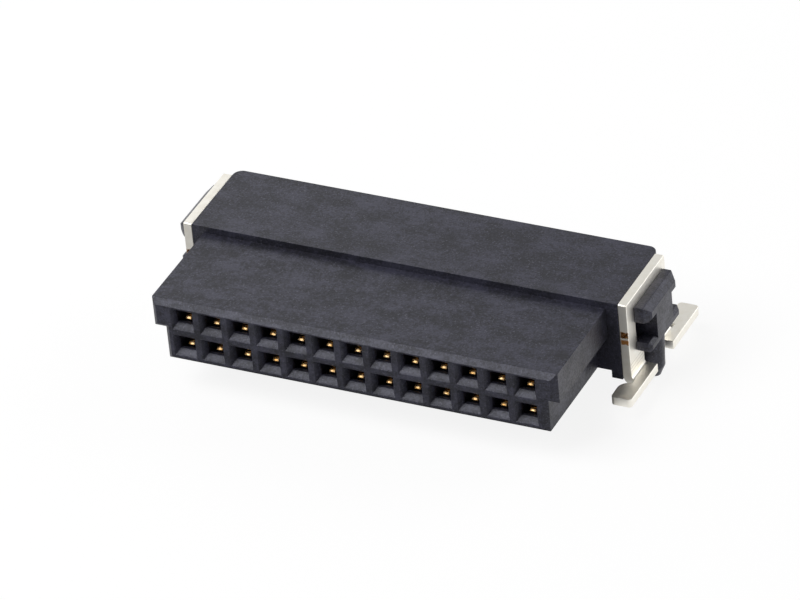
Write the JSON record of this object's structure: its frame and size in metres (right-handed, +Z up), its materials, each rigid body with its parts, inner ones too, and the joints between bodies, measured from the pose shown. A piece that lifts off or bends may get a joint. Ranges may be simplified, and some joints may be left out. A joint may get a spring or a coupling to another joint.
{
  "type": "right-angle surface-mount board socket connector",
  "caption": "Low black board connector with two rows of square funnel sockets, gold twin-beam contacts, stamped hold-down clips and locating pegs at its ends.",
  "frame": {"origin": "on the board plane, midway between the two locating pegs", "axes": "+X along the rows, +Y from the mating face to the rear, +Z up from the board"},
  "size_m": [0.0212, 0.0108, 0.0046],
  "materials": {
    "black_lcp": "moulded, glass-filled, matt",
    "tinned_clip": "stamped bronze, matt tin plate",
    "gold_contact": "stamped bronze, gold plate on the beams"
  },
  "bodies": {
    "root": {"housing": "black_lcp", "left_hold_down": "tinned_clip", "right_hold_down": "tinned_clip", "upper_contact_1": "gold_contact", "upper_contact_2": "gold_contact", "upper_contact_3": "gold_contact", "upper_contact_4": "gold_contact", "upper_contact_5": "gold_contact", "upper_contact_6": "gold_contact", "upper_contact_7": "gold_contact", "upper_contact_8": "gold_contact", "upper_contact_9": "gold_contact", "upper_contact_10": "gold_contact", "upper_contact_11": "gold_contact", "upper_contact_12": "gold_contact", "upper_contact_13": "gold_contact", "lower_contact_1": "gold_contact", "lower_contact_2": "gold_contact", "lower_contact_3": "gold_contact", "lower_contact_4": "gold_contact", "lower_contact_5": "gold_contact", "lower_contact_6": "gold_contact", "lower_contact_7": "gold_contact", "lower_contact_8": "gold_contact", "lower_contact_9": "gold_contact", "lower_contact_10": "gold_contact", "lower_contact_11": "gold_contact", "lower_contact_12": "gold_contact", "lower_contact_13": "gold_contact"}
  },
  "joints": []
}
